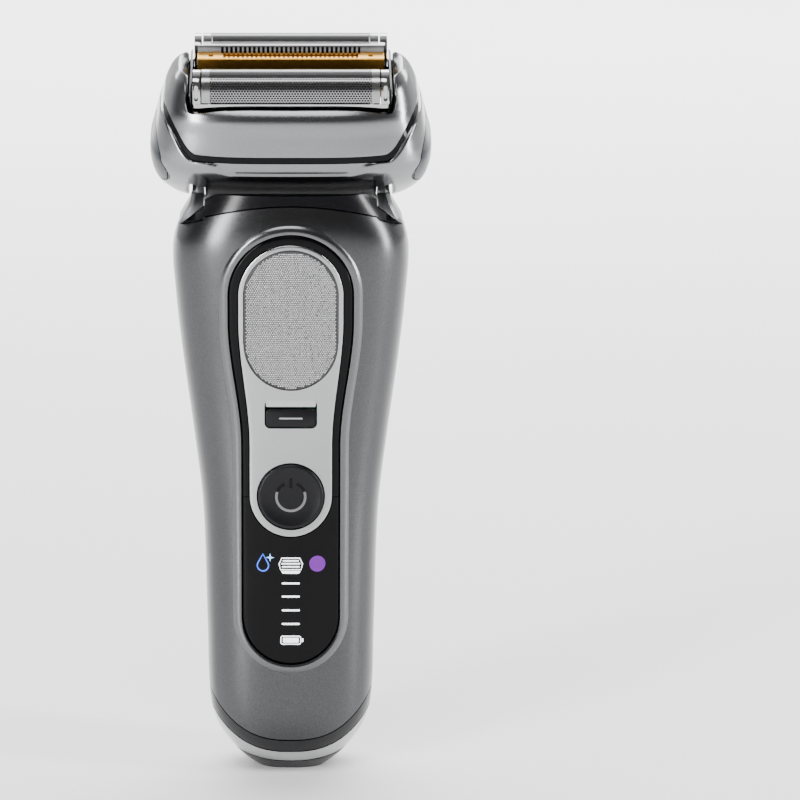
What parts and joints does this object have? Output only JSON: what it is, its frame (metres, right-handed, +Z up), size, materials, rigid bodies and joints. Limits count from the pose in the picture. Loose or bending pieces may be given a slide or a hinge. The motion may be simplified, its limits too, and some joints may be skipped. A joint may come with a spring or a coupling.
{
  "type": "foil shaver",
  "caption": "Upright electric foil shaver: tapered two-shell handle with a front console, and a tilting head that holds a lift-out cassette of sprung foils and trimmers.",
  "frame": {"origin": "middle of the flat foot, on the surface the shaver stands on", "axes": "+Z up the handle, the front face with its console looks along -Y, +X is the shaver's right as seen from the front"},
  "size_m": [0.062, 0.0361, 0.1655],
  "materials": {
    "shell_gunmetal": "satin metallic gunmetal lacquer",
    "shell_rear": "matte black grip with fine ribs",
    "black_satin": "satin",
    "black_gloss": "polished",
    "display_glass": "polished lens over a dark display",
    "silver_satin": "satin",
    "head_silver": "satin silver lacquer",
    "plate_silver": "satin",
    "pad_metal": "fine embossed texture",
    "button_black": "satin black",
    "base_chrome": "bright",
    "chrome": "bright",
    "steel": "brushed",
    "foil_steel": "perforated",
    "guard_silver": "slotted",
    "trimmer_gold": "gold coloured coating",
    "dark_grey": "satin",
    "rubber": "matte",
    "board_green": "solder mask",
    "copper": "enamelled copper",
    "cell_wrap": "shrink wrap",
    "brass": "plated"
  },
  "bodies": {
    "handle": {"front_shell": "shell_gunmetal", "rear_shell": "shell_rear", "neck_band": "black_satin", "yoke_left": "silver_satin", "yoke_right": "silver_satin", "pivot_pin_left": "steel", "pivot_pin_right": "steel", "console_bezel": "shell_gunmetal", "plate_border": "black_gloss", "grip_plate": "plate_silver", "grip_pad": "pad_metal", "display_lens": "display_glass", "lock_bar": "chrome", "button_seal": "rubber", "power_switch": "black_satin", "display_board": "board_green", "main_board": "board_green", "chassis": "black_satin", "battery_cell": "cell_wrap", "battery_tab_plus": "steel", "battery_tab_minus": "steel", "flex_cable": "copper", "screw_low_left": "steel", "screw_low_right": "steel", "screw_high_left": "steel", "screw_high_right": "steel", "base_band": "dark_grey", "base_ring": "base_chrome", "end_cap": "dark_grey", "cap_seal": "rubber", "charging_socket": "black_satin", "socket_pin_left": "brass", "socket_pin_right": "brass", "trimmer_track": "black_satin"},
    "power_button": {"power_button": "button_black"},
    "lock_slider": {"lock_slider": "dark_grey"},
    "rear_trimmer": {"trimmer_slider": "dark_grey", "trimmer_comb": "steel"},
    "rear_trimmer_blade": {"trimmer_blade": "steel"},
    "head": {"head_frame": "head_silver", "head_gap_ring": "black_satin", "head_lower_shell": "head_silver", "motor_housing": "black_satin", "motor_core": "steel", "motor_coil": "copper", "drive_seal": "rubber"},
    "release_left": {"release_button_left": "black_satin"},
    "release_right": {"release_button_right": "black_satin"},
    "front_armature": {"front_armature": "steel"},
    "rear_armature": {"rear_armature": "steel"},
    "cassette": {"cassette_frame": "black_satin"},
    "front_foil": {"front_foil": "foil_steel", "front_foil_carrier": "chrome"},
    "front_cutter": {"front_cutter": "steel"},
    "rear_foil": {"rear_foil": "foil_steel", "rear_foil_carrier": "chrome"},
    "rear_cutter": {"rear_cutter": "steel"},
    "skin_guard": {"skin_guard": "guard_silver"},
    "lift_trimmer": {"lift_trimmer_comb": "trimmer_gold"},
    "lift_trimmer_blade": {"lift_trimmer_blade": "steel"}
  },
  "joints": [
    {"name": "head_tilt", "type": "hinge", "parent": "handle", "child": "head", "pos_m": [0, 0.001, 0.143], "axis": [1, 0, 0], "range_deg": [-30, 10], "stiffness_Nm_per_rad": 0.15},
    {"name": "cassette_pull", "type": "slide", "parent": "head", "child": "cassette", "axis": [0, -0.3256, 0.9455], "range_m": [0, 0.025]},
    {"name": "front_foil_float", "type": "slide", "parent": "cassette", "child": "front_foil", "axis": [0, -0.3256, 0.9455], "range_m": [-0.0025, 0], "stiffness_N_per_m": 200, "springref_m": 0.001},
    {"name": "rear_foil_float", "type": "slide", "parent": "cassette", "child": "rear_foil", "axis": [0, -0.3256, 0.9455], "range_m": [-0.0025, 0], "stiffness_N_per_m": 200, "springref_m": 0.001},
    {"name": "lift_trimmer_float", "type": "slide", "parent": "cassette", "child": "lift_trimmer", "axis": [0, -0.3256, 0.9455], "range_m": [-0.0025, 0], "stiffness_N_per_m": 150, "springref_m": 0.001},
    {"name": "skin_guard_float", "type": "slide", "parent": "cassette", "child": "skin_guard", "axis": [0, -0.3256, 0.9455], "range_m": [-0.0025, 0], "stiffness_N_per_m": 150, "springref_m": 0.001},
    {"name": "front_armature_slide", "type": "slide", "parent": "head", "child": "front_armature", "axis": [1, 0, 0], "range_m": [-0.0012, 0.0012], "stiffness_N_per_m": 300},
    {"name": "rear_armature_slide", "type": "slide", "parent": "head", "child": "rear_armature", "axis": [1, 0, 0], "range_m": [-0.0012, 0.0012]},
    {"name": "front_cutter_slide", "type": "slide", "parent": "front_foil", "child": "front_cutter", "axis": [1, 0, 0], "range_m": [-0.0012, 0.0012]},
    {"name": "rear_cutter_slide", "type": "slide", "parent": "rear_foil", "child": "rear_cutter", "axis": [1, 0, 0], "range_m": [-0.0012, 0.0012]},
    {"name": "lift_blade_slide", "type": "slide", "parent": "lift_trimmer", "child": "lift_trimmer_blade", "axis": [1, 0, 0], "range_m": [-0.0012, 0.0012]},
    {"name": "rear_blade_slide", "type": "slide", "parent": "rear_trimmer", "child": "rear_trimmer_blade", "axis": [1, 0, 0], "range_m": [-0.0012, 0.0012]},
    {"name": "power_press", "type": "slide", "parent": "handle", "child": "power_button", "axis": [0, 1, 0], "range_m": [0, 0.0007], "stiffness_N_per_m": 1500},
    {"name": "lock_slide", "type": "slide", "parent": "handle", "child": "lock_slider", "axis": [0, 0, 1], "range_m": [0, 0.0017]},
    {"name": "release_left_press", "type": "slide", "parent": "head", "child": "release_left", "axis": [1, 0, 0], "range_m": [0, 0.0015], "stiffness_N_per_m": 800},
    {"name": "release_right_press", "type": "slide", "parent": "head", "child": "release_right", "axis": [-1, 0, 0], "range_m": [0, 0.0015], "stiffness_N_per_m": 800},
    {"name": "rear_trimmer_slide", "type": "slide", "parent": "handle", "child": "rear_trimmer", "axis": [0, 0, 1], "range_m": [0, 0.011]}
  ],
  "couplings": [
    {"joint": "rear_armature_slide", "follows": "front_armature_slide", "ratio": -1},
    {"joint": "front_cutter_slide", "follows": "front_armature_slide", "ratio": 1},
    {"joint": "rear_cutter_slide", "follows": "front_armature_slide", "ratio": -1},
    {"joint": "lift_blade_slide", "follows": "front_armature_slide", "ratio": 1},
    {"joint": "rear_blade_slide", "follows": "front_armature_slide", "ratio": 0.8}
  ]
}
